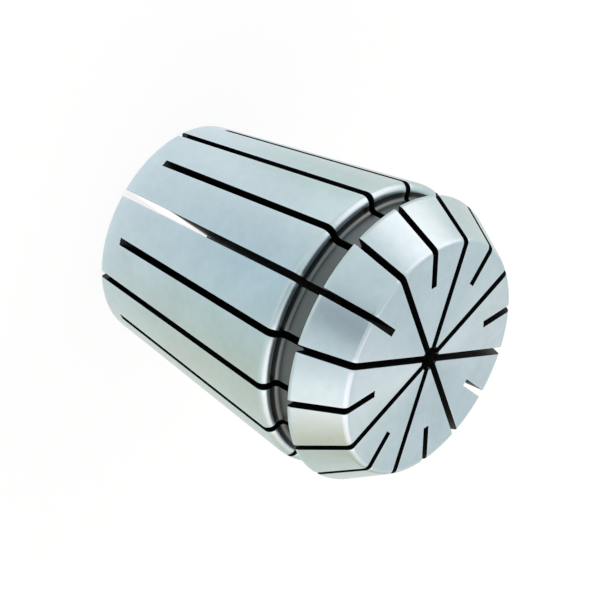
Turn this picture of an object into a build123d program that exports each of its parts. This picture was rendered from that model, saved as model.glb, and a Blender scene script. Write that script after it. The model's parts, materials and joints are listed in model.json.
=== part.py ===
from build123d import *
import math
import os

# A double-slotted spring collet of size 40 with a 3 mm bore: one piece of hardened steel.
# The origin is the centre of the small rear end, and +Z runs along the axis to the nose.
# Lengths are in millimetres and angles in degrees. A section is drawn in X (radius) and Z.

# Outside
BODY_LENGTH = 46.0
HEAD_DIAMETER = 41.0
NOSE_CONE_LENGTH = 6.5
NOSE_HALF_ANGLE = 30.0
HEAD_LAND = 0.5
TAPER_HALF_ANGLE = 8.0

# Groove behind the head, which the clamping nut's ring snaps into
GROOVE_WIDTH = 4.1
GROOVE_DEPTH = 2.4

# Bore: a narrow stretch grips the shank, and a drilled relief lies behind it
BORE_DIAMETER = 3.0
GRIP_LENGTH = 13.5
RELIEF_DIAMETER = 12.0
DRILL_POINT_ANGLE = 118.0

# Slots, sawn in turn from the front and from the rear
SLOT_PAIRS = 8
SLOT_WIDTH = 1.0
SAW_DIAMETER = 100.0
REAR_SLOT_RUN_ON_FACE = 5.55
BRIDGE_BEHIND_FRONT_SLOT = 3.1

# Edges: the tapers are eased by radii, and the other edges and the groove's corners by chamfers
TAPER_EDGE_RADIUS = 0.9
REAR_EDGE_RADIUS = 0.5
FACE_EDGE_CHAMFER = 0.5
HEAD_EDGE_CHAMFER = 0.2
GROOVE_CORNER_CHAMFER = 0.35
BORE_MOUTH_CHAMFER = 0.25
RELIEF_MOUTH_CHAMFER = 0.5

# The most of a wall that an eased edge or corner may take up
LARGEST_SHARE_OF_WALL = 0.45

# Radii that follow from the sizes above
head_radius = HEAD_DIAMETER / 2
face_radius = head_radius - NOSE_CONE_LENGTH * math.tan(math.radians(NOSE_HALF_ANGLE))
groove_radius = head_radius - GROOVE_DEPTH
bore_radius = BORE_DIAMETER / 2
relief_radius = RELIEF_DIAMETER / 2
saw_radius = SAW_DIAMETER / 2

# Heights above the rear end that follow from the sizes above
cone_back = BODY_LENGTH - NOSE_CONE_LENGTH
groove_front = cone_back - HEAD_LAND
groove_back = groove_front - GROOVE_WIDTH
grip_back = BODY_LENGTH - GRIP_LENGTH
drill_point_length = (relief_radius - bore_radius) / math.tan(math.radians(DRILL_POINT_ANGLE / 2))
relief_front = grip_back - drill_point_length


def taper_radius(height):
    """Radius of the main taper, which carries the head's diameter at the back of the groove."""
    return head_radius - (groove_back - height) * math.tan(math.radians(TAPER_HALF_ANGLE))


def within_wall(size, wall):
    """The size of an eased edge, or as much of it as its wall has room for."""
    return min(size, LARGEST_SHARE_OF_WALL * wall)


def sharp_section():
    """Half of the collet's section, from the bores out to the tapers, with its edges sharp."""
    outline = Polyline(
        (relief_radius, 0),
        (taper_radius(0), 0),
        (head_radius, groove_back),
        (groove_radius, groove_back),
        (groove_radius, groove_front),
        (head_radius, groove_front),
        (head_radius, cone_back),
        (face_radius, BODY_LENGTH),
        (bore_radius, BODY_LENGTH),
        (bore_radius, grip_back),
        (relief_radius, relief_front),
        close=True,
    )
    return make_face(outline)


def eased(section, ease, corners):
    """The section after a fillet or a chamfer at each corner: its radius, height and size."""
    for radius, height, size in corners:
        corner = section.vertices().sort_by_distance((radius, height))[0]
        section = ease(corner, size)
    return section


def section_of_blank():
    """The section of the turned blank, with all its edges eased."""
    rear_wall = taper_radius(0) - relief_radius
    rounds = (
        (taper_radius(0), 0, within_wall(REAR_EDGE_RADIUS, rear_wall)),
        (head_radius, groove_back, within_wall(TAPER_EDGE_RADIUS, GROOVE_DEPTH)),
    )
    chamfers = (
        (relief_radius, 0, within_wall(RELIEF_MOUTH_CHAMFER, rear_wall)),
        (groove_radius, groove_back, within_wall(GROOVE_CORNER_CHAMFER, GROOVE_DEPTH)),
        (groove_radius, groove_front, within_wall(GROOVE_CORNER_CHAMFER, GROOVE_DEPTH)),
        (head_radius, groove_front, within_wall(HEAD_EDGE_CHAMFER, HEAD_LAND)),
        (face_radius, BODY_LENGTH, within_wall(FACE_EDGE_CHAMFER, NOSE_CONE_LENGTH)),
        (bore_radius, BODY_LENGTH, within_wall(BORE_MOUTH_CHAMFER, face_radius - bore_radius)),
    )
    return eased(eased(sharp_section(), fillet, rounds), chamfer, chamfers)


def saw_reach_along_axis(radius):
    """How far ahead of its arbor the saw still cuts at a radius, with its rim on the axis."""
    return math.sqrt(saw_radius**2 - (saw_radius - radius) ** 2)


def sawn_slot(arbor_height, direction):
    """What the saw removes when it runs out of the collet along Z from its deepest place."""
    deepest = Pos(saw_radius, arbor_height) * Circle(saw_radius)
    run_out = Pos(saw_radius, arbor_height + direction * BODY_LENGTH) * Rectangle(
        SAW_DIAMETER, 2 * BODY_LENGTH
    )
    return extrude(Plane.XZ * (deepest + run_out), SLOT_WIDTH / 2, both=True)


def front_slot():
    """A slot open at the front face, which stops short of the rear end by the bridge."""
    rear_end = BRIDGE_BEHIND_FRONT_SLOT
    arbor_height = rear_end + saw_reach_along_axis(taper_radius(rear_end))
    return sawn_slot(arbor_height, 1)


def rear_slot():
    """A slot open at the rear end, whose front end shows as a short run on the front face."""
    end_radius = face_radius - REAR_SLOT_RUN_ON_FACE
    arbor_height = BODY_LENGTH - saw_reach_along_axis(end_radius)
    return sawn_slot(arbor_height, -1)


def collet():
    """The turned body, sawn from the front and half a pitch further on from the rear."""
    body = revolve(Plane.XZ * section_of_blank(), Axis.Z)
    pitch = 360 / SLOT_PAIRS
    for index in range(SLOT_PAIRS):
        body -= Rot(Z=index * pitch) * front_slot()
        body -= Rot(Z=(index + 0.5) * pitch) * rear_slot()
    return body


os.makedirs("parts", exist_ok=True)
export_step(collet(), "parts/collet_body.step")
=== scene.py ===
"""A double-slotted spring collet of size 40: its steel body, the stage and the camera."""

import json
import math

import bpy
from mathutils import Matrix, Vector


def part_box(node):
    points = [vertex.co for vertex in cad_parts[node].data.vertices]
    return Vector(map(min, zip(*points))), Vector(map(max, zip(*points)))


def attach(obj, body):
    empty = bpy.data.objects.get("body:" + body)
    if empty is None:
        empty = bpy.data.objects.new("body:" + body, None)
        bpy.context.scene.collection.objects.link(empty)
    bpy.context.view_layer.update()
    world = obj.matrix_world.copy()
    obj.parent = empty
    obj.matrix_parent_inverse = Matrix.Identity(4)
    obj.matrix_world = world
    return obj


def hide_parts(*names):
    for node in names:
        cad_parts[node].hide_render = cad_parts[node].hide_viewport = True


bl_info = {
    "name": "Spring Collet",
    "version": (1, 0, 0),
    "blender": (4, 5, 0),
    "location": "3D View > Sidebar > Collet",
    "description": "Builds a double-slotted spring collet, its finishes, its stage and its camera",
    "category": "Add Mesh",
}

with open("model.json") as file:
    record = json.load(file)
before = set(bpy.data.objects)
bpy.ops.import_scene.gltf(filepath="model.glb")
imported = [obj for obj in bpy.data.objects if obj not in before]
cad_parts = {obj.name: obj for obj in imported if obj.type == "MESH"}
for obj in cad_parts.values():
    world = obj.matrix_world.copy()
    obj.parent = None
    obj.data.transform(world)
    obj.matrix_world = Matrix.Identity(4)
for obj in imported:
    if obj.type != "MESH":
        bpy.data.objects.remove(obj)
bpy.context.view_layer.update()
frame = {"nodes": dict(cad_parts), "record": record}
BODY_NODE = "collet_body"
MM = 0.001

# Sizes that the solid body and its record already carry
low_corner, high_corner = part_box(BODY_NODE)
body_vertices = frame["nodes"][BODY_NODE].data.vertices
head_radius_found = max(math.hypot(v.co.x, v.co.y) for v in body_vertices)
shank_mount = next(m for m in frame["record"]["mounts"] if m["name"] == "shank_bore")
bore_radius_found = shank_mount["dims"]["r_mm"] * MM

# Finishes, as the number that each face carries in the attribute "finish"
(GROUND_TAPER, GROUND_NOSE, GROUND_FACE, TURNED_GROOVE, GROOVE_WALL, FRONT_SLOT, REAR_SLOT,
 BORED_HOLE) = range(8)

# How finely the body is divided: steps of its arcs, and columns between two slots
CHAMFER = 1
REAR_EDGE_STEPS = 5
TAPER_EDGE_STEPS = 10
GROOVE_CORNER_STEPS = 6
FACE_EDGE_STEPS = 8
SAW_ARC_STEPS = 14
BROKEN_EDGE_STEPS = 3
COLUMNS_BETWEEN_SLOTS = 9
CROSSING_HALVINGS = 60
SHARPEST_SMOOTH_EDGE = math.radians(34)


def length(name, description, default):
    """A property for a length in metres."""
    return bpy.props.FloatProperty(
        name=name, description=description, default=default, min=0.0, precision=6,
        subtype="DISTANCE", unit="LENGTH")


def angle(name, description, degrees):
    """A property for an angle, with its default in degrees."""
    return bpy.props.FloatProperty(
        name=name, description=description, default=math.radians(degrees),
        subtype="ANGLE", unit="ROTATION")


def colour(name, description, default):
    """A property for a colour in linear light."""
    return bpy.props.FloatVectorProperty(
        name=name, description=description, default=default, size=3, min=0.0, max=2.0,
        soft_max=1.0, subtype="COLOR")


def share(name, description, default):
    """A property for a number from nought to one."""
    return bpy.props.FloatProperty(
        name=name, description=description, default=default, min=0.0, max=1.0,
        subtype="FACTOR")


class ColletSizes(bpy.types.PropertyGroup):
    """Sizes of the collet's body."""

    body_length: length("Body Length", "From the rear end to the front face",
                        high_corner.z - low_corner.z)
    head_radius: length("Head Radius", "Radius over the head", head_radius_found)
    nose_length: length("Nose Cone Length", "Length of the nose cone along the axis", 6.5 * MM)
    nose_angle: angle("Nose Half Angle", "Angle between the nose cone and the axis", 30.0)
    head_land: length("Head Land", "Length of the head between the groove and the nose cone",
                      0.5 * MM)
    taper_angle: angle("Taper Half Angle", "Angle between the main taper and the axis", 8.0)
    groove_width: length("Groove Width", "Width of the groove behind the head", 4.1 * MM)
    groove_depth: length("Groove Depth", "Depth of the groove below the head", 2.4 * MM)
    bore_radius: length("Bore Radius", "Radius of the bore that grips the shank",
                        bore_radius_found)
    grip_length: length("Grip Length", "Length of the narrow bore", 13.5 * MM)
    relief_radius: length("Relief Radius", "Radius of the wide bore behind the grip", 6.0 * MM)
    point_angle: angle("Drill Point Angle", "Full angle of the cone between the bores", 118.0)
    taper_edge: length("Taper Edge Radius", "Round on the taper's large end", 1.1 * MM)
    rear_edge: length("Rear Edge Radius", "Round on the rear end", 0.5 * MM)
    groove_corner: length("Groove Corner Radius", "Round in the groove's two corners", 0.6 * MM)
    head_edge: length("Head Edge Chamfer", "Chamfer on the head's edges", 0.2 * MM)
    face_edge: length("Face Edge Radius", "Round between the nose cone and the front face",
                      1.0 * MM)
    bore_mouth: length("Bore Mouth Chamfer", "Chamfer at the bore's mouth", 0.25 * MM)
    relief_mouth: length("Relief Mouth Chamfer", "Chamfer at the relief's mouth", 0.5 * MM)
    slot_pairs: bpy.props.IntProperty(
        name="Slot Pairs", description="Slots sawn from each end", default=8, min=3, max=16,
        subtype="UNSIGNED")
    slot_width: length("Slot Width", "Width of the saw cut", 1.0 * MM)
    saw_radius: length("Saw Radius", "Radius of the slitting saw", 50.0 * MM)
    run_on_face: length("Rear Slot Run On Face", "How far a rear slot runs on to the front face",
                        5.55 * MM)
    bridge: length("Bridge", "Steel left behind the end of a front slot", 3.1 * MM)
    edge_break: length("Edge Break", "Width of the broken edge along the slots", 0.06 * MM)


class ColletFinish(bpy.types.PropertyGroup):
    """Colours and roughness of the collet's surfaces."""

    steel: colour("Ground Steel", "Colour of the ground taper, nose and face",
                  (0.50, 0.61, 0.655))
    # Painted shade: the groove's dark colour stands in for the shade inside the groove, rather than
    # scale
    groove: colour("Painted Groove Shade", "Colour of the scale left in the turned groove",
                   (0.125, 0.142, 0.148))
    # Painted shade: the groove's rear wall is coloured darker than the groove's floor for the shade
    # it lies in
    groove_wall_painted_shade: colour("Groove Wall", "Colour of the groove's rear wall", (0.06, 0.07, 0.073))
    # Painted shade: the slots' near-black colour stands in for the shade inside the narrow saw
    # cuts, rather than scale
    slot: colour("Painted Slot Shade", "Colour of the scale left in the sawn slots",
                 (0.022, 0.024, 0.026))
    # Painted shade: the bores' near-black colour stands in for the shade inside the hollow
    bore: colour("Painted Bore Shade", "Colour of the bores", (0.035, 0.04, 0.042))
    taper_roughness: share("Taper Roughness", "Roughness of the ground taper", 0.34)
    nose_roughness: share("Nose Roughness", "Roughness of the ground nose cone", 0.30)
    face_roughness: share("Face Roughness", "Roughness of the front face", 0.36)
    face_streak: share("Face Streak", "How far the face's gloss is drawn out by its lines", 0.85)
    groove_roughness: share("Groove Roughness", "Roughness of the groove's floor", 0.30)
    wall_roughness: share("Groove Wall Roughness", "Roughness of the groove's rear wall", 0.34)
    slot_roughness: share("Slot Roughness", "Roughness of the sawn slots", 0.50)
    burnish: share("Burnished Roughness", "Roughness of the rear slots near the rear end", 0.06)
    burnish_full: length("Full Burnish", "Height up to which the burnish is even", 8.0 * MM)
    burnish_end: length("Burnish End", "Height at which the burnish has faded out", 12.0 * MM)
    bore_roughness: share("Bore Roughness", "Roughness of the bores", 0.42)
    lines: share("Grinding Lines", "Strength of the fine grinding lines", 0.04)
    # Painted highlight: the slots' outer edges are made lighter, partly as rubbed steel and partly
    # as the highlight along their edges
    edge_rub_and_highlight: share("Edge Rub And Highlight", "How much lighter the worn edges of the slots are", 0.04)


class ColletStage(bpy.types.PropertyGroup):
    """The floor, the light and the camera."""

    floor_radius: length("Floor Radius", "Radius of the round floor", 1.5)
    floor: colour("Floor Colour", "Colour of the floor in plain light", (0.93, 0.93, 0.93))
    floor_glow: share("Floor Glow", "Share of the floor that shows as plain white", 0.88)
    floor_near: colour("Near Floor", "Light that the floor under the piece sends into it",
                       (1.17, 1.15, 1.16))
    floor_far: colour("Far Floor", "Light that the floor further out sends into the piece",
                      (0.94, 0.94, 0.85))
    near_radius: length("Near Radius", "Radius up to which the floor counts as near", 16.0 * MM)
    far_radius: length("Far Radius", "Radius from which the floor counts as far", 60.0 * MM)
    sky: colour("Sky Colour", "Plain light from all round", (0.94, 0.97, 0.96))
    aim: bpy.props.FloatVectorProperty(
        name="Aim", description="Point that the camera looks at",
        default=(-0.582 * MM, 1.196 * MM, 24.577 * MM), size=3, subtype="XYZ", unit="LENGTH")
    distance: length("Camera Distance", "From the camera to the point it looks at", 391.585 * MM)
    azimuth: angle("Camera Azimuth", "Direction of the camera round the axis", 25.977)
    elevation: angle("Camera Elevation", "Height of the camera as an angle", 33.244)
    roll: angle("Camera Roll", "Turn of the camera about its line of sight", 117.422)
    lens: bpy.props.FloatProperty(
        name="Lens", description="Focal length on a sensor 36 mm wide", default=169.86,
        min=1.0, subtype="DISTANCE_CAMERA")


# ---------------------------------------------------------------- the section of the body


def groove_back(sizes):
    """Height of the groove's rear wall, where the main taper ends."""
    return sizes.body_length - sizes.nose_length - sizes.head_land - sizes.groove_width


def taper_radius(sizes, height):
    """Radius of the main taper at a height."""
    return sizes.head_radius - (groove_back(sizes) - height) * math.tan(sizes.taper_angle)


def face_radius(sizes):
    """Radius at which the nose cone would meet the front face in a sharp edge."""
    return sizes.head_radius - sizes.nose_length * math.tan(sizes.nose_angle)


def eased_corner(before, corner, after, size, steps):
    """The corner itself for no steps, a chamfer for one step, or an arc in more steps."""
    if not steps:
        return [corner]
    to_before = (before - corner).normalized()
    to_after = (after - corner).normalized()
    if steps == CHAMFER:
        return [corner + to_before * size, corner + to_after * size]
    half = to_before.angle(to_after) / 2
    centre = corner + (to_before + to_after).normalized() * (size / math.sin(half))
    start = corner + to_before * (size / math.tan(half)) - centre
    turn = math.pi - 2 * half
    if start.x * to_before.y - start.y * to_before.x > 0:
        turn = -turn
    points = []
    for step in range(steps + 1):
        a = turn * step / steps
        points.append(centre + Vector((start.x * math.cos(a) - start.y * math.sin(a),
                                       start.x * math.sin(a) + start.y * math.cos(a))))
    return points


def section(sizes):
    """The body's section as [(radius, height, finish of the stretch that follows)]."""
    s = sizes
    top = s.body_length
    cone_back = top - s.nose_length
    groove_front = cone_back - s.head_land
    groove_radius = s.head_radius - s.groove_depth
    grip_back = top - s.grip_length
    relief_front = grip_back - (s.relief_radius - s.bore_radius) / math.tan(s.point_angle / 2)
    # Corner, size of its ease, steps of the ease, finish of the ease, finish of what follows
    corners = (
        ((s.relief_radius, 0.0), s.relief_mouth, CHAMFER, GROUND_TAPER, GROUND_TAPER),
        ((taper_radius(s, 0.0), 0.0), s.rear_edge, REAR_EDGE_STEPS, GROUND_TAPER, GROUND_TAPER),
        ((s.head_radius, groove_back(s)), s.taper_edge, TAPER_EDGE_STEPS, GROUND_TAPER,
         GROOVE_WALL),
        ((groove_radius, groove_back(s)), s.groove_corner, GROOVE_CORNER_STEPS, TURNED_GROOVE,
         TURNED_GROOVE),
        ((groove_radius, groove_front), s.groove_corner, GROOVE_CORNER_STEPS, TURNED_GROOVE,
         TURNED_GROOVE),
        ((s.head_radius, groove_front), s.head_edge, CHAMFER, TURNED_GROOVE, GROUND_NOSE),
        ((s.head_radius, cone_back), s.head_edge, CHAMFER, GROUND_NOSE, GROUND_NOSE),
        ((face_radius(s), top), s.face_edge, FACE_EDGE_STEPS, GROUND_NOSE, GROUND_FACE),
        ((s.bore_radius, top), s.bore_mouth, CHAMFER, BORED_HOLE, BORED_HOLE),
        ((s.bore_radius, grip_back), 0.0, 0, BORED_HOLE, BORED_HOLE),
        ((s.relief_radius, relief_front), 0.0, 0, BORED_HOLE, BORED_HOLE),
    )
    points = []
    for i, (corner, size, steps, finish_of_ease, finish_after) in enumerate(corners):
        before = Vector(corners[i - 1][0])
        after = Vector(corners[(i + 1) % len(corners)][0])
        eased = eased_corner(before, Vector(corner), after, size, steps)
        points += [(point.x, point.y, finish_of_ease) for point in eased[:-1]]
        points.append((eased[-1].x, eased[-1].y, finish_after))
    return points


# ---------------------------------------------------------------- the saw's cuts


class SawCut:
    """A slot whose end is an arc of the round saw that cuts it."""

    def __init__(self, sizes, from_front):
        self.saw = sizes.saw_radius
        self.from_front = from_front
        self.finish = FRONT_SLOT if from_front else REAR_SLOT
        if from_front:
            self.arbor = sizes.bridge + self.reach(taper_radius(sizes, sizes.bridge))
        else:
            self.arbor = sizes.body_length - self.reach(face_radius(sizes) - sizes.run_on_face)

    def reach(self, radius):
        """How far the saw reaches along the axis at a radius."""
        return math.sqrt(self.saw ** 2 - (self.saw - radius) ** 2)

    def end(self, radius):
        """Height of the slot's end at a radius."""
        return self.arbor + (-self.reach(radius) if self.from_front else self.reach(radius))

    def holds(self, radius, height):
        """Whether a point lies inside the slot."""
        return height > self.end(radius) if self.from_front else height < self.end(radius)


def between(start, stop, part):
    """The point that lies a part of the way from start to stop."""
    return (start[0] + (stop[0] - start[0]) * part, start[1] + (stop[1] - start[1]) * part)


def crossing(cut, start, stop):
    """The part of the way from start to stop where a slot begins or ends, if there is one."""
    starts_inside = cut.holds(*start)
    if cut.holds(*stop) == starts_inside:
        return None
    low, high = 0.0, 1.0
    for _ in range(CROSSING_HALVINGS):
        middle = (low + high) / 2
        if cut.holds(*between(start, stop, middle)) == starts_inside:
            low = middle
        else:
            high = middle
    return low


def with_crossings(points, cuts):
    """The section with a point added wherever the end of a saw cut crosses it."""
    found = []
    for i, (radius, height, finish) in enumerate(points):
        start, stop = (radius, height), points[(i + 1) % len(points)][:2]
        parts = [crossing(cut, start, stop) for cut in cuts]
        for part in [0.0] + sorted(part for part in parts if part is not None):
            found.append((*between(start, stop, part), finish))
    return found


# ---------------------------------------------------------------- one half of a land


class HalfLand:
    """The body from the middle of a front slot to the middle of the rear slot next to it.

    Its turned surface is a grid with a row for each point of the section. The first and the last
    column lie in the middle of a slot, and the columns next to them lie on the slots' walls.
    """

    def __init__(self, sizes):
        self.front = SawCut(sizes, from_front=True)
        self.rear = SawCut(sizes, from_front=False)
        self.points = with_crossings(section(sizes), (self.front, self.rear))
        self.half_width = sizes.slot_width / 2
        self.sector = math.pi / sizes.slot_pairs
        self.last = COLUMNS_BETWEEN_SLOTS + 2
        self.vertices, self.rub_and_highlight = [], []
        self.faces, self.finishes = [], []
        self.broken = set()
        self.in_front = self.stretches_inside(self.front)
        self.in_rear = self.stretches_inside(self.rear)
        self.grid = self.rows()
        self.skin()
        self.close_slot(self.front, self.in_front, 1, 0)
        self.close_slot(self.rear, self.in_rear, self.last - 1, self.last)

    def next(self, i):
        """The point of the section after point i."""
        return (i + 1) % len(self.points)

    def stretches_inside(self, cut):
        """For each stretch of the section, whether its middle lies inside the slot."""
        stretches = ((point[:2], self.points[self.next(i)][:2])
                     for i, point in enumerate(self.points))
        return [cut.holds(*between(start, stop, 0.5)) for start, stop in stretches]

    def columns(self, radius):
        """The azimuth of each column at a radius."""
        near = math.asin(self.half_width / radius)
        far = self.sector - near
        if far <= near:
            # So near the axis there is no room for a rear slot's wall, and there is no rear slot
            far = (near + self.sector) / 2
        walls_and_between = [near + (far - near) * k / COLUMNS_BETWEEN_SLOTS
                             for k in range(COLUMNS_BETWEEN_SLOTS + 1)]
        return [0.0, *walls_and_between, self.sector]

    def vertex(self, radius, height, azimuth, rubbed_and_lit=0.0):
        """Adds a vertex and gives its number."""
        self.vertices.append((radius * math.cos(azimuth), radius * math.sin(azimuth), height))
        self.rub_and_highlight.append(rubbed_and_lit)
        return len(self.vertices) - 1

    def face(self, corners, finish, forward=True):
        """Adds a face, with its corners in order or the other way round."""
        self.faces.append(tuple(corners) if forward else tuple(reversed(corners)))
        self.finishes.append(finish)

    def rows(self):
        """The grid's vertices. Those on the outer edges of the slots are marked to be lighter,
        partly as rubbed steel and partly as a painted highlight.
        """
        grid = []
        for i, (radius, height, finish) in enumerate(self.points):
            rubbed_and_lit = [0.0] * (self.last + 1)
            # The slots' outer edges are marked to be lighter: partly rubbed steel, partly a painted
            # highlight
            if finish != BORED_HOLE:
                rubbed_and_lit[1] = float(self.in_front[i] or self.in_front[i - 1])
                rubbed_and_lit[self.last - 1] = float(self.in_rear[i] or self.in_rear[i - 1])
            grid.append([self.vertex(radius, height, azimuth, rubbed_and_lit[j])
                         for j, azimuth in enumerate(self.columns(radius))])
        return grid

    def skin(self):
        """The turned surface, open where a slot comes out."""
        grid = self.grid
        for i, (_, _, finish) in enumerate(self.points):
            k = self.next(i)
            first = 1 if self.in_front[i] else 0
            final = self.last - 1 if self.in_rear[i] else self.last
            for j in range(first, final):
                self.face((grid[i][j], grid[i][j + 1], grid[k][j + 1], grid[k][j]), finish)
            if finish != BORED_HOLE:
                if self.in_front[i]:
                    self.broken.add((grid[i][1], grid[k][1]))
                if self.in_rear[i]:
                    self.broken.add((grid[i][self.last - 1], grid[k][self.last - 1]))

    def chain(self, inside):
        """The run of points whose stretches lie inside a slot, with the point that ends it."""
        count = len(self.points)
        chain = [next(i for i in range(count) if inside[i] and not inside[i - 1])]
        while inside[chain[-1]]:
            chain.append(self.next(chain[-1]))
        return chain

    def close_slot(self, cut, inside, wall, middle):
        """A slot's wall, and the half of its curved end up to the slot's middle."""
        chain = self.chain(inside)
        first, final = chain[0], chain[-1]
        r_from, r_to = self.points[final][0], self.points[first][0]
        arc = [(self.grid[final][wall], self.grid[final][middle])]
        for step in range(1, SAW_ARC_STEPS):
            radius = r_from + (r_to - r_from) * step / SAW_ARC_STEPS
            columns = self.columns(radius)
            height = cut.end(radius)
            arc.append((self.vertex(radius, height, columns[wall]),
                        self.vertex(radius, height, columns[middle])))
        arc.append((self.grid[first][wall], self.grid[first][middle]))
        forward = wall > middle
        outline = [self.grid[i][wall] for i in chain] + [pair[0] for pair in arc[1:-1]]
        self.face(outline, cut.finish, forward)
        for (wall_a, middle_a), (wall_b, middle_b) in zip(arc, arc[1:]):
            self.face((middle_a, middle_b, wall_b, wall_a), cut.finish, forward)
        outer = first if cut.from_front else final
        self.broken.add((self.grid[outer][wall], self.grid[outer][middle]))

    def mesh(self):
        """The half land as a mesh, with its finishes, its lighter slot edges and its broken edges.
        The lighter slot edges are partly rubbed steel and partly a painted highlight.
        """
        mesh = bpy.data.meshes.new("half_land")
        mesh.from_pydata(self.vertices, [], self.faces)
        broken = {tuple(sorted(pair)) for pair in self.broken}
        weights = [float(tuple(sorted(edge.vertices)) in broken) for edge in mesh.edges]
        for name, kind, domain, values in (("finish", "INT", "FACE", self.finishes),
                                           ("edge_rub_and_highlight", "FLOAT", "POINT", self.rub_and_highlight),
                                           ("bevel_weight_edge", "FLOAT", "EDGE", weights)):
            mesh.attributes.new(name, kind, domain).data.foreach_set("value", values)
        return mesh


# ---------------------------------------------------------------- nodes


def add(tree, kind, inputs=None, **settings):
    """Adds a node, sets what is given on it, and fills its inputs with values or links."""
    node = tree.nodes.new(kind)
    for name, value in settings.items():
        setattr(node, name, value)
    for key, value in (inputs or {}).items():
        if isinstance(value, bpy.types.NodeSocket):
            tree.links.new(value, node.inputs[key])
        else:
            node.inputs[key].default_value = value
    return node


def maths(tree, operation, *values):
    """Adds a Math node and gives its output."""
    return add(tree, "ShaderNodeMath", dict(enumerate(values)), operation=operation).outputs[0]


def add_part(tree, total, value, part):
    """Adds a part of a value to a total."""
    return maths(tree, "ADD", total, maths(tree, "MULTIPLY", value, part))


def add_scaled(tree, total, gain, mask):
    """Adds a tinted gain, as strong as its mask, to a vector."""
    part = add(tree, "ShaderNodeVectorMath", {0: gain, "Scale": mask}, operation="SCALE")
    return add(tree, "ShaderNodeVectorMath", {0: total, 1: part.outputs[0]},
               operation="ADD").outputs[0]


def ramp(tree, value, start, stop, low=0.0, high=1.0, kind="LINEAR"):
    """Adds a Map Range node that goes from low at start to high at stop."""
    return add(tree, "ShaderNodeMapRange",
               {"Value": value, "From Min": start, "From Max": stop, "To Min": low,
                "To Max": high}, interpolation_type=kind).outputs[0]


def object_coordinates(tree):
    """The place on the piece, measured from its own origin."""
    return add(tree, "ShaderNodeTexCoord").outputs["Object"]


def new_group(name, kind, inputs, outputs):
    """Starts a node group with named inputs and outputs, and gives it with its two end nodes."""
    group = bpy.data.node_groups.new(name, kind)
    for label, socket, default in inputs:
        item = group.interface.new_socket(label, in_out="INPUT", socket_type=socket)
        if default is not None:
            item.default_value = default
    for label, socket in outputs:
        group.interface.new_socket(label, in_out="OUTPUT", socket_type=socket)
    return group, group.nodes.new("NodeGroupInput"), group.nodes.new("NodeGroupOutput")


def pattern_tree(materials):
    """Geometry nodes that mirror a half land, repeat it round the axis and give it its finishes."""
    tree, start, end = new_group(
        "Lands Around Axis", "GeometryNodeTree",
        [("Half Land", "NodeSocketGeometry", None), ("Lands", "NodeSocketInt", 8),
         ("Merge Distance", "NodeSocketFloat", 0.001 * MM)],
        [("Body", "NodeSocketGeometry")])
    mirrored = add(tree, "GeometryNodeTransform",
                   {"Geometry": start.outputs["Half Land"], "Scale": (1.0, -1.0, 1.0)})
    flipped = add(tree, "GeometryNodeFlipFaces", {"Mesh": mirrored.outputs[0]})
    land = add(tree, "GeometryNodeJoinGeometry")
    tree.links.new(flipped.outputs[0], land.inputs[0])
    tree.links.new(start.outputs["Half Land"], land.inputs[0])
    places = add(tree, "GeometryNodePoints", {"Count": start.outputs["Lands"]})
    index = add(tree, "GeometryNodeInputIndex")
    step = maths(tree, "DIVIDE", math.tau, start.outputs["Lands"])
    turn = add(tree, "ShaderNodeCombineXYZ", {"Z": maths(tree, "MULTIPLY", index.outputs[0], step)})
    copies = add(tree, "GeometryNodeInstanceOnPoints",
                 {"Points": places.outputs[0], "Instance": land.outputs[0],
                  "Rotation": turn.outputs[0]})
    real = add(tree, "GeometryNodeRealizeInstances", {"Geometry": copies.outputs[0]})
    merged = add(tree, "GeometryNodeMergeByDistance",
                 {"Geometry": real.outputs[0], "Distance": start.outputs["Merge Distance"]})
    finish = add(tree, "GeometryNodeInputNamedAttribute", {"Name": "finish"}, data_type="INT")
    # Inputs 2 and 3 of a Compare node are the two whole numbers that it compares
    whole_a, whole_b = 2, 3
    stream = merged.outputs[0]
    for number, material in enumerate(materials):
        chosen = add(tree, "FunctionNodeCompare", data_type="INT", operation="EQUAL")
        tree.links.new(finish.outputs["Attribute"], chosen.inputs[whole_a])
        chosen.inputs[whole_b].default_value = number
        stream = add(tree, "GeometryNodeSetMaterial",
                     {"Geometry": stream, "Selection": chosen.outputs[0],
                      "Material": material}).outputs[0]
    tree.links.new(stream, end.inputs["Body"])
    return tree


# ---------------------------------------------------------------- finishes

# The stretch of a noise's values that its mask spreads out from nought to one
LINE_STRETCH = (0.35, 0.65)
PATCH_STRETCH = (0.35, 0.65)
SPECK_STRETCH = (0.30, 0.70)
# How the marks change the steel: its plain level of brightness, and what each mark adds to it
PLAIN_LEVEL = 0.945
PATCH_LEVEL = 0.08
SPECK_LEVEL = 0.06
# The share of the lines' strength that shows as brightness
LINE_LEVEL = 0.5
# What a patch adds to the roughness, from a little below the finish's own
PATCH_ROUGHNESS = 0.06
BELOW_ROUGHNESS = 0.04
LINE_DEPTH = 0.02 * MM
QUARTER_TURN = 0.25


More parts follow.
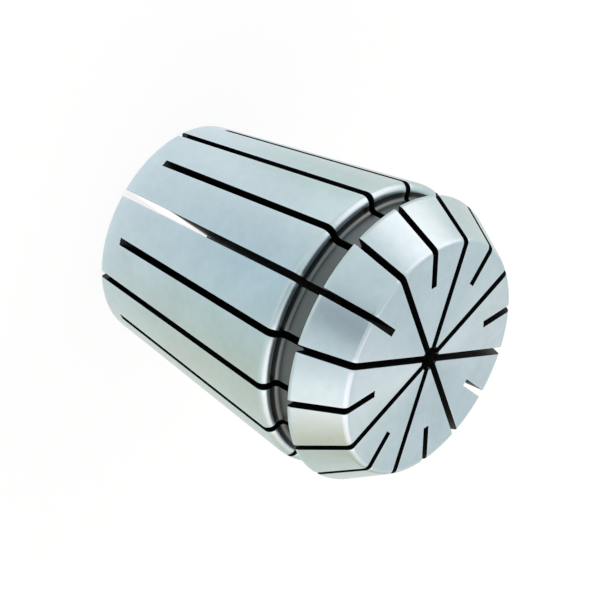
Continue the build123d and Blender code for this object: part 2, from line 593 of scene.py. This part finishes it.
def grinding_lines_group():
    """Fine lines that run round the axis, as a height and a mask."""
    group, start, end = new_group(
        "Grinding Lines", "ShaderNodeTree",
        [("Lines Per Millimetre", "NodeSocketFloat", 6.0), ("Breakup", "NodeSocketFloat", 2.0)],
        [("Height", "NodeSocketFloat"), ("Mask", "NodeSocketFloat")])
    place = add(group, "ShaderNodeSeparateXYZ", {0: object_coordinates(group)}).outputs
    x, y, z = place["X"], place["Y"], place["Z"]
    radius = maths(group, "SQRT", maths(group, "ADD", maths(group, "MULTIPLY", x, x),
                                        maths(group, "MULTIPLY", y, y)))
    per_metre = maths(group, "MULTIPLY", start.outputs["Lines Per Millimetre"], 1 / MM)
    breakup = start.outputs["Breakup"]
    vector = add(group, "ShaderNodeCombineXYZ", {
        "X": maths(group, "MULTIPLY", radius, per_metre),
        "Y": maths(group, "MULTIPLY", maths(group, "DIVIDE", x, radius), breakup),
        "Z": maths(group, "MULTIPLY", maths(group, "DIVIDE", y, radius), breakup)}).outputs[0]
    noise = add(group, "ShaderNodeTexNoise",
                {"Vector": vector, "W": maths(group, "MULTIPLY", z, per_metre), "Scale": 1.0,
                 "Detail": 2.0, "Roughness": 0.6}, noise_dimensions="4D").outputs[0]
    group.links.new(noise, end.inputs["Height"])
    group.links.new(ramp(group, noise, *LINE_STRETCH), end.inputs["Mask"])
    return group


def handling_marks_group():
    """Soft patches and small specks left by handling and wiping."""
    group, start, end = new_group(
        "Handling Marks", "ShaderNodeTree",
        [("Patches Per Metre", "NodeSocketFloat", 90.0),
         ("Specks Per Patch", "NodeSocketFloat", 8.0), ("Seed", "NodeSocketFloat", 0.0)],
        [("Patches", "NodeSocketFloat"), ("Specks", "NodeSocketFloat")])
    place = object_coordinates(group)
    patches = add(group, "ShaderNodeTexNoise",
                  {"Vector": place, "W": start.outputs["Seed"],
                   "Scale": start.outputs["Patches Per Metre"], "Detail": 3.0,
                   "Distortion": 0.8}, noise_dimensions="4D").outputs[0]
    fine = maths(group, "MULTIPLY", start.outputs["Patches Per Metre"],
                 start.outputs["Specks Per Patch"])
    specks = add(group, "ShaderNodeTexNoise",
                 {"Vector": place, "W": start.outputs["Seed"], "Scale": fine, "Detail": 2.0},
                 noise_dimensions="4D").outputs[0]
    patch_mask = ramp(group, patches, *PATCH_STRETCH, kind="SMOOTHSTEP")
    group.links.new(patch_mask, end.inputs["Patches"])
    group.links.new(ramp(group, specks, *SPECK_STRETCH), end.inputs["Specks"])
    return group


class Steel:
    """Makes machined steel finishes with grinding lines, handling marks and lighter slot edges,
    which are partly rubbed steel and partly a painted highlight.
    """

    def __init__(self):
        self.grinding = grinding_lines_group()
        self.handling = handling_marks_group()

    def finish(self, name, tint, roughness, lines, seed, lines_per_mm=6.0, rub_and_highlight=0.0,
               streak=0.0, burnish=None):
        """A material. Burnish is a roughness and the heights where it starts and stops fading."""
        material = bpy.data.materials.new(name)
        material.use_nodes = True
        tree = material.node_tree
        tree.nodes.clear()
        grinding = add(tree, "ShaderNodeGroup", node_tree=self.grinding)
        grinding.inputs["Lines Per Millimetre"].default_value = lines_per_mm
        handling = add(tree, "ShaderNodeGroup", node_tree=self.handling)
        handling.inputs["Seed"].default_value = seed
        line_mask = grinding.outputs["Mask"]
        patches, specks = handling.outputs["Patches"], handling.outputs["Specks"]

        rough = add_part(tree, roughness - BELOW_ROUGHNESS, patches, PATCH_ROUGHNESS)
        rough = add_part(tree, rough, line_mask, lines)
        if burnish:
            burnished, full, faded = burnish
            height = add(tree, "ShaderNodeSeparateXYZ", {0: object_coordinates(tree)}).outputs["Z"]
            strength = ramp(tree, height, full, faded, low=1.0, high=0.0, kind="SMOOTHSTEP")
            rough = add(tree, "ShaderNodeMix", {"Factor": strength, "A": rough, "B": burnished},
                        data_type="FLOAT").outputs[0]

        level = add_part(tree, PLAIN_LEVEL, patches, PATCH_LEVEL)
        level = add_part(tree, level, line_mask, lines * LINE_LEVEL)
        level = add_part(tree, level, specks, SPECK_LEVEL)
        # Lighter slot edges: partly rubbed steel, partly a painted highlight along the edges
        if rub_and_highlight:
            rubbed_and_lit = add(tree, "ShaderNodeAttribute", attribute_name="edge_rub_and_highlight").outputs["Fac"]
            level = add_part(tree, level, rubbed_and_lit, rub_and_highlight)
        grey = add(tree, "ShaderNodeCombineColor", {0: level, 1: level, 2: level})
        # Inputs 6 and 7 are the two colours, and output 2 is the mixed one
        base = add(tree, "ShaderNodeMix", {"Factor": 1.0}, data_type="RGBA",
                   blend_type="MULTIPLY")
        base.inputs[6].default_value = (*tint, 1.0)
        tree.links.new(grey.outputs[0], base.inputs[7])
        bump = add(tree, "ShaderNodeBump", {"Strength": lines, "Distance": LINE_DEPTH,
                                            "Height": grinding.outputs["Height"]})
        shader = add(tree, "ShaderNodeBsdfPrincipled",
                     {"Metallic": 1.0, "Base Color": base.outputs[2], "Roughness": rough,
                      "Normal": bump.outputs[0]})
        if streak:
            round_axis = add(tree, "ShaderNodeTangent", direction_type="RADIAL", axis="Z")
            tree.links.new(round_axis.outputs[0], shader.inputs["Tangent"])
            shader.inputs["Anisotropic"].default_value = streak
            shader.inputs["Anisotropic Rotation"].default_value = QUARTER_TURN
        add(tree, "ShaderNodeOutputMaterial", {"Surface": shader.outputs[0]})
        return material


def collet_finishes(finish):
    """The collet's materials, in the order of the numbers in the attribute "finish"."""
    steel = Steel()
    rub_and_highlight = finish.edge_rub_and_highlight
    ground_lines = finish.lines
    faint_lines = finish.lines / 8
    turned_lines = finish.lines * 2
    burnish = (finish.burnish, finish.burnish_full, finish.burnish_end)
    return (
        steel.finish("ground_taper", finish.steel, finish.taper_roughness, ground_lines,
                     seed=0.0, rub_and_highlight=rub_and_highlight),
        steel.finish("ground_nose", finish.steel, finish.nose_roughness, faint_lines,
                     seed=3.0, rub_and_highlight=rub_and_highlight),
        steel.finish("ground_face", finish.steel, finish.face_roughness, ground_lines,
                     seed=6.0, rub_and_highlight=rub_and_highlight, streak=finish.face_streak),
        # The groove's floor carries painted shade in its dark colour
        steel.finish("turned_groove_painted_shade", finish.groove, finish.groove_roughness, turned_lines,
                     seed=9.0, lines_per_mm=4.0),
        # The groove's rear wall carries painted shade in its darker colour
        steel.finish("groove_wall_painted_shade", finish.groove_wall_painted_shade, finish.wall_roughness, turned_lines,
                     seed=10.0, lines_per_mm=4.0),
        # The front and rear slots carry painted shade in their near-black colour
        steel.finish("front_slot_painted_shade", finish.slot, finish.slot_roughness, lines=0.0, seed=12.0),
        steel.finish("rear_slot_painted_shade", finish.slot, finish.slot_roughness, lines=0.0, seed=12.0,
                     burnish=burnish),
        # The bores carry painted shade in their near-black colour
        steel.finish("bored_hole_painted_shade", finish.bore, finish.bore_roughness, turned_lines,
                     seed=15.0, lines_per_mm=3.0),
    )


# ---------------------------------------------------------------- the body


def plain_mesh(context, piece):
    """A new mesh of a piece as its modifiers leave it."""
    depsgraph = context.evaluated_depsgraph_get()
    return bpy.data.meshes.new_from_object(piece.evaluated_get(depsgraph), depsgraph=depsgraph)


def slotted_mesh(context, sizes, materials):
    """The whole body's mesh: the half lands round the axis, with the slots' edges broken."""
    seed_object = bpy.data.objects.new("half_land", HalfLand(sizes).mesh())
    context.scene.collection.objects.link(seed_object)
    tree = pattern_tree(materials)
    pattern = seed_object.modifiers.new("Lands Around Axis", "NODES")
    pattern.node_group = tree
    for item in tree.interface.items_tree:
        if item.item_type == "SOCKET" and item.name == "Lands":
            pattern[item.identifier] = sizes.slot_pairs
    bevel = seed_object.modifiers.new("Broken Edges", "BEVEL")
    bevel.limit_method = "WEIGHT"
    bevel.width = sizes.edge_break
    bevel.segments = BROKEN_EDGE_STEPS
    bevel.use_clamp_overlap = False
    mesh = plain_mesh(context, seed_object)
    bpy.data.objects.remove(seed_object)
    mesh.shade_smooth()
    mesh.set_sharp_from_angle(angle=SHARPEST_SMOOTH_EDGE)
    return mesh


class COLLET_OT_body(bpy.types.Operator):
    """Builds the slotted body and gives each of its surfaces its finish"""

    bl_idname = "collet.body"
    bl_label = "Collet Body"

    def execute(self, context):
        scene = context.scene
        materials = collet_finishes(scene.collet_finish)
        mesh = slotted_mesh(context, scene.collet_sizes, materials)
        if not mesh.polygons:
            raise RuntimeError("The slotted body came out empty")
        body = bpy.data.objects.new("slotted_body", mesh)
        scene.collection.objects.link(body)
        weigh = body.modifiers.new("Weighted Normals", "WEIGHTED_NORMAL")
        weigh.keep_sharp = True
        body.data = plain_mesh(context, body)
        body.modifiers.clear()
        body.data.name = "slotted_body"
        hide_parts(BODY_NODE)
        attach(body, "root")
        return {"FINISHED"}


# ---------------------------------------------------------------- the stage

# Soft areas of the studio: azimuth, elevation and half width in degrees, and tinted gain
SOFT_AREAS = {
    "soft box towards -Y": (-70.0, 25.0, 40.0, (1.00, 0.75, 0.70)),
    "wide soft box towards +Y": (130.0, 42.0, 60.0, (1.05, 0.75, 0.70)),
    "shade below the wide soft box": (145.0, 0.0, 50.0, (-0.68, -0.62, -0.80)),
    "dim wall behind": (-160.0, 35.0, 50.0, (-0.08, -0.08, -0.08)),
    "dark gap in front": (30.0, 33.0, 20.0, (-0.55, -0.55, -0.50)),
    "dim ceiling": (75.0, 78.0, 30.0, (-0.30, -0.30, -0.25)),
}
# Soft pools on the floor: X, Y and radius in millimetres, and tinted gain
SOFT_POOLS = {
    "warm shade towards +Y": (-5.0, 38.0, 55.0, (-0.15, -0.18, -0.32)),
    "cool shade towards +X and +Y": (30.0, 40.0, 50.0, (-0.20, -0.08, 0.03)),
    "cool shade in front": (60.0, 10.0, 50.0, (-0.30, -0.20, -0.08)),
    "wide light towards -Y": (50.0, -50.0, 60.0, (0.42, 0.40, 0.45)),
    "small shade towards -Y": (22.0, -38.0, 30.0, (-0.38, -0.30, -0.35)),
    "light under the piece": (5.0, 2.0, 15.0, (0.75, 0.65, 0.70)),
}
WHITE = (1.0, 1.0, 1.0)
FLOOR_CORNERS = 96
SENSOR_WIDTH_MM = 36.0
NEAREST_SEEN = 10.0 * MM
FURTHEST_SEEN = 10.0


def direction(azimuth, elevation):
    """Unit vector towards an azimuth and an elevation."""
    return Vector((math.cos(elevation) * math.cos(azimuth),
                   math.cos(elevation) * math.sin(azimuth), math.sin(elevation)))


def mixed(tree, factor, start, stop):
    """Adds a Mix node for two colours that may be brighter than white, held as vectors."""
    node = add(tree, "ShaderNodeMix", {"Factor": factor}, data_type="VECTOR")
    # Inputs 4 and 5 are the two vectors, and output 1 is the mixed one
    for key, value in ((4, start), (5, stop)):
        if isinstance(value, bpy.types.NodeSocket):
            tree.links.new(value, node.inputs[key])
        else:
            node.inputs[key].default_value = value
    return node.outputs[1]


def floor_material(stage):
    """A pale floor that shows as white, lights the piece and keeps its shadow."""
    material = bpy.data.materials.new("pale_floor")
    material.use_nodes = True
    tree = material.node_tree
    tree.nodes.clear()
    rays = add(tree, "ShaderNodeLightPath").outputs
    seen = maths(tree, "MAXIMUM", rays["Is Camera Ray"],
                 maths(tree, "MAXIMUM", rays["Is Glossy Ray"], rays["Is Transmission Ray"]))
    place = object_coordinates(tree)
    away = add(tree, "ShaderNodeVectorMath", {0: place}, operation="LENGTH").outputs["Value"]
    outward = ramp(tree, away, stage.near_radius, stage.far_radius)
    light = mixed(tree, outward, stage.floor_near, stage.floor_far)
    for name, (x, y, radius, gain) in SOFT_POOLS.items():
        gap = add(tree, "ShaderNodeVectorMath", {0: place, 1: (x * MM, y * MM, 0.0)},
                  operation="DISTANCE", label=name).outputs["Value"]
        mask = ramp(tree, gap, 0.0, radius * MM, low=1.0, high=0.0, kind="SMOOTHSTEP")
        light = add_scaled(tree, light, gain, mask)
    light = mixed(tree, rays["Is Camera Ray"], light, WHITE)
    plain = add(tree, "ShaderNodeBsdfDiffuse", {"Color": (*stage.floor, 1.0)})
    glow = add(tree, "ShaderNodeEmission", {"Color": light})
    both = add(tree, "ShaderNodeMixShader",
               {0: maths(tree, "MULTIPLY", seen, stage.floor_glow), 1: plain.outputs[0],
                2: glow.outputs[0]})
    add(tree, "ShaderNodeOutputMaterial", {"Surface": both.outputs[0]})
    return material


def studio_world(sky):
    """Even light from all round with soft areas, which cameras see as plain white."""
    world = bpy.data.worlds.new("studio")
    world.use_nodes = True
    tree = world.node_tree
    tree.nodes.clear()
    towards = add(tree, "ShaderNodeTexCoord").outputs["Generated"]
    light = add(tree, "ShaderNodeCombineXYZ", dict(enumerate(sky))).outputs[0]
    for name, (azimuth, elevation, width, gain) in SOFT_AREAS.items():
        centre = direction(math.radians(azimuth), math.radians(elevation))
        facing = add(tree, "ShaderNodeVectorMath", {0: towards, 1: centre},
                     operation="DOT_PRODUCT", label=name).outputs["Value"]
        mask = ramp(tree, facing, math.cos(math.radians(width)), 1.0, kind="SMOOTHSTEP")
        light = add_scaled(tree, light, gain, mask)
    studio = add(tree, "ShaderNodeBackground", {"Color": light})
    white = add(tree, "ShaderNodeBackground", {"Color": (*WHITE, 1.0)})
    rays = add(tree, "ShaderNodeLightPath").outputs
    both = add(tree, "ShaderNodeMixShader",
               {0: rays["Is Camera Ray"], 1: studio.outputs[0], 2: white.outputs[0]})
    add(tree, "ShaderNodeOutputWorld", {"Surface": both.outputs[0]})
    return world


def placed_camera(stage):
    """A camera that looks at the aim from its distance, turned about its line of sight."""
    away = direction(stage.azimuth, stage.elevation)
    level_right = Vector((-math.sin(stage.azimuth), math.cos(stage.azimuth), 0.0))
    level_up = away.cross(level_right)
    right = level_right * math.cos(stage.roll) + level_up * math.sin(stage.roll)
    turn = Matrix((right, away.cross(right), away)).transposed()
    camera = bpy.data.objects.new("camera", bpy.data.cameras.new("camera"))
    camera.data.lens = stage.lens
    camera.data.sensor_width = SENSOR_WIDTH_MM
    camera.data.clip_start = NEAREST_SEEN
    camera.data.clip_end = FURTHEST_SEEN
    camera.matrix_world = (Matrix.Translation(Vector(stage.aim) + away * stage.distance)
                           @ turn.to_4x4())
    return camera


class COLLET_OT_stage(bpy.types.Operator):
    """Lays the floor, sets the light and places the camera"""

    bl_idname = "collet.stage"
    bl_label = "Stage"

    def execute(self, context):
        scene = context.scene
        stage = scene.collet_stage
        bpy.ops.mesh.primitive_circle_add(vertices=FLOOR_CORNERS, radius=stage.floor_radius,
                                          fill_type="NGON", location=(0.0, 0.0, low_corner.z))
        floor = context.object
        floor.name = "pale_floor"
        floor.data.materials.append(floor_material(stage))
        scene.world = studio_world(stage.sky)
        scene.view_settings.view_transform = "Standard"
        scene.camera = placed_camera(stage)
        scene.collection.objects.link(scene.camera)
        return {"FINISHED"}


class COLLET_PT_panel(bpy.types.Panel):
    """Lists the collet's values and the steps that build it"""

    bl_idname = "COLLET_PT_panel"
    bl_label = "Spring Collet"
    bl_space_type = "VIEW_3D"
    bl_region_type = "UI"
    bl_category = "Collet"

    def draw(self, context):
        scene = context.scene
        for operator, groups in ((COLLET_OT_body, (scene.collet_sizes, scene.collet_finish)),
                                 (COLLET_OT_stage, (scene.collet_stage,))):
            box = self.layout.box()
            for group in groups:
                for name in type(group).__annotations__:
                    box.prop(group, name)
            box.operator(operator.bl_idname)


CLASSES = (ColletSizes, ColletFinish, ColletStage, COLLET_OT_body, COLLET_OT_stage,
           COLLET_PT_panel)
GROUPS = {"collet_sizes": ColletSizes, "collet_finish": ColletFinish,
          "collet_stage": ColletStage}


def register():
    """Makes the collet's values, steps and panel known to Blender."""
    for cls in CLASSES:
        bpy.utils.register_class(cls)
    for name, group in GROUPS.items():
        setattr(bpy.types.Scene, name, bpy.props.PointerProperty(type=group))


def unregister():
    """Takes back what register has done."""
    for name in GROUPS:
        delattr(bpy.types.Scene, name)
    for cls in reversed(CLASSES):
        bpy.utils.unregister_class(cls)


def main():
    """Builds everything in order."""
    register()
    bpy.ops.collet.body()
    bpy.ops.collet.stage()


if __name__ == "__main__":
    main()
